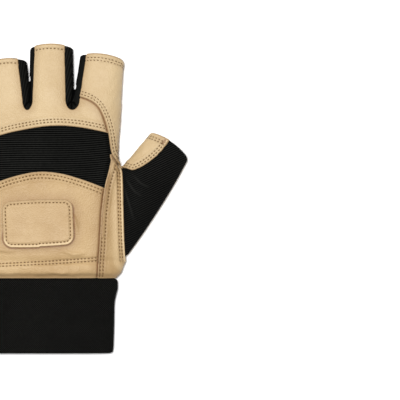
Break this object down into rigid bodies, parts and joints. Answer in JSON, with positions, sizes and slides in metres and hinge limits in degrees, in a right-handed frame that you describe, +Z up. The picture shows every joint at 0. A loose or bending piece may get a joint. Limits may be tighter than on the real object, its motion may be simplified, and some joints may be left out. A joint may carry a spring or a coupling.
{
  "type": "half-finger glove",
  "caption": "Half-finger leather glove for the left hand, with black ribbed stretch panels and thumb, a stitched patch on the back and a wide knitted elastic cuff.",
  "frame": {"origin": "on the surface that the glove lies on, under the middle of its outline", "axes": "+Y from the wrist to the fingertips, +X towards the thumb, +Z up out of the back of the hand"},
  "size_m": [0.1556, 0.2012, 0.0252],
  "materials": {
    "leather": "smooth tan grain leather, matte to satin, with dark brown lock stitches",
    "trim_leather": "the same leather, slightly darker, creased between its stitched edges",
    "patch_leather": "smooth tan leather, stitched round its edge",
    "rib_fabric": "black stretch fabric with fine ribs across it, dull",
    "side_fabric": "black stretch fabric, fine and dull",
    "knit_elastic": "black knitted elastic with a fine diagonal texture"
  },
  "bodies": {
    "root": {"palm_shell": "leather", "knuckle_yoke": "leather", "heel_panel": "leather", "side_strip": "trim_leather", "patch": "patch_leather", "thumb_palm": "leather", "stretch_panel": "rib_fabric", "thumb_back": "rib_fabric", "sidewall_index_middle": "side_fabric", "sidewall_middle_ring": "side_fabric", "sidewall_ring_little": "side_fabric", "cuff": "knit_elastic"}
  },
  "joints": []
}
